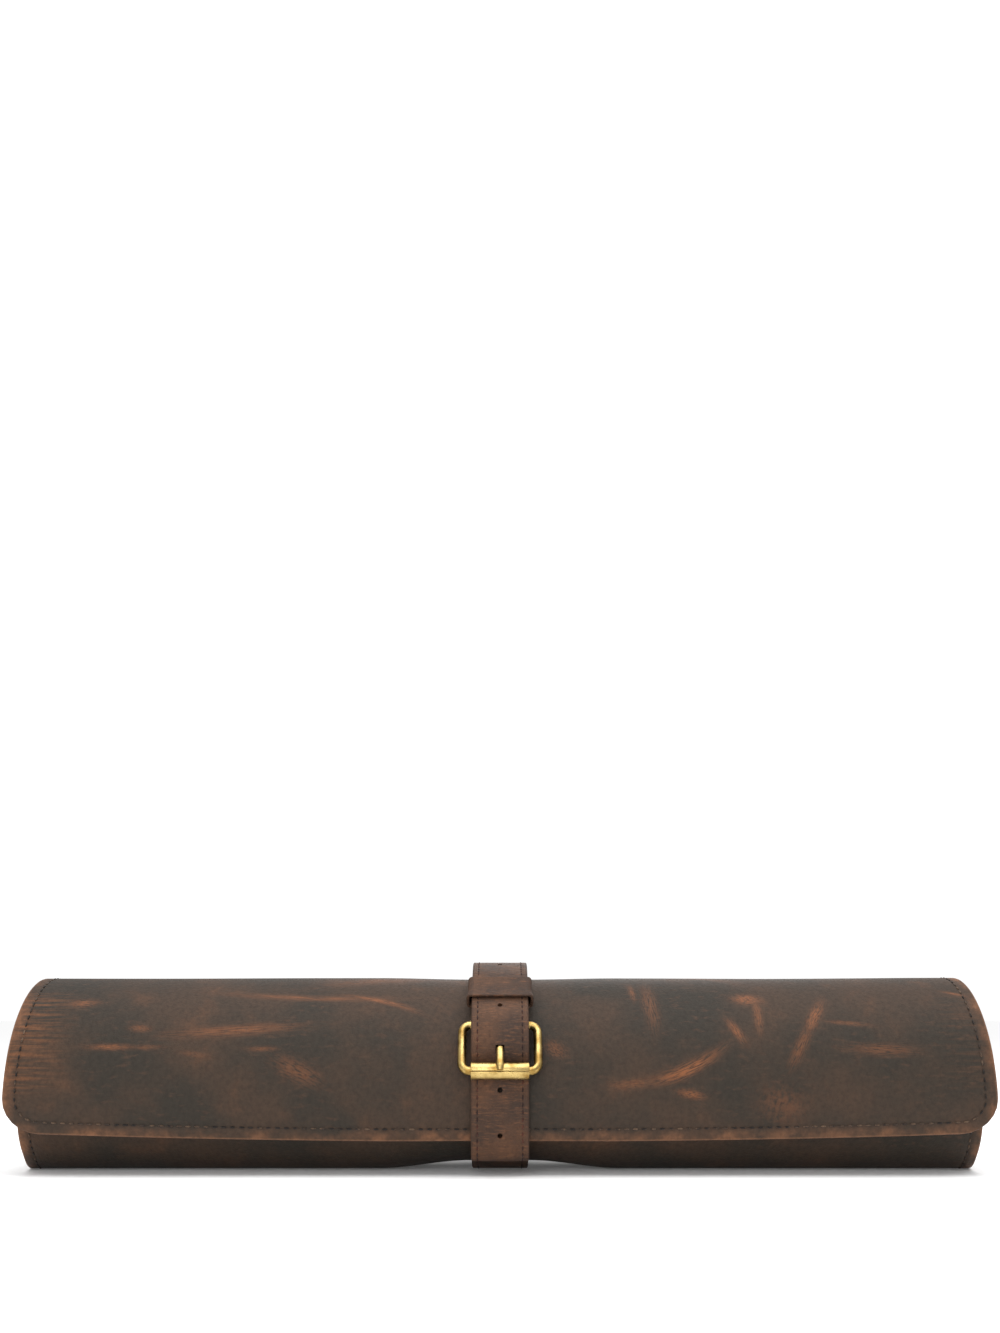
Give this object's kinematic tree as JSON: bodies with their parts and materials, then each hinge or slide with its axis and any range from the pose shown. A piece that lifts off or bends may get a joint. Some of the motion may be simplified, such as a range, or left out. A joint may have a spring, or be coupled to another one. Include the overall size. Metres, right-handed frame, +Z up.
{
  "type": "chef knife roll, rolled and buckled",
  "caption": "Leather knife roll with suede lining, pocket and zip, rolled into a tube and held by a strap with a brass roller buckle.",
  "frame": {"origin": "middle of the underside, on the surface that the roll rests on", "axes": "+X along the roll, -Y towards the buckle and the flap's edge, +Z up"},
  "size_m": [0.48, 0.1222, 0.1022],
  "materials": {
    "leather": "waxed, pulled-up dark brown hide with tan scuffs",
    "strap_leather": "waxed brown leather, stitched along both edges",
    "suede": "napped dark brown suede",
    "zip_tape": "woven tape",
    "brass": "antique brass, worn bright on its edges"
  },
  "bodies": {
    "root": {"outer_panel": "leather", "lining": "suede", "knife_pocket": "suede", "pocket_band": "leather", "divider_strip": "leather", "top_flap": "suede", "zip_tape": "zip_tape", "zip_teeth": "brass", "zip_slider": "brass", "zip_ring": "brass", "zip_puller": "leather", "strap": "strap_leather", "keeper": "strap_leather", "buckle_frame": "brass", "buckle_roller": "brass", "buckle_prong": "brass"}
  },
  "joints": []
}
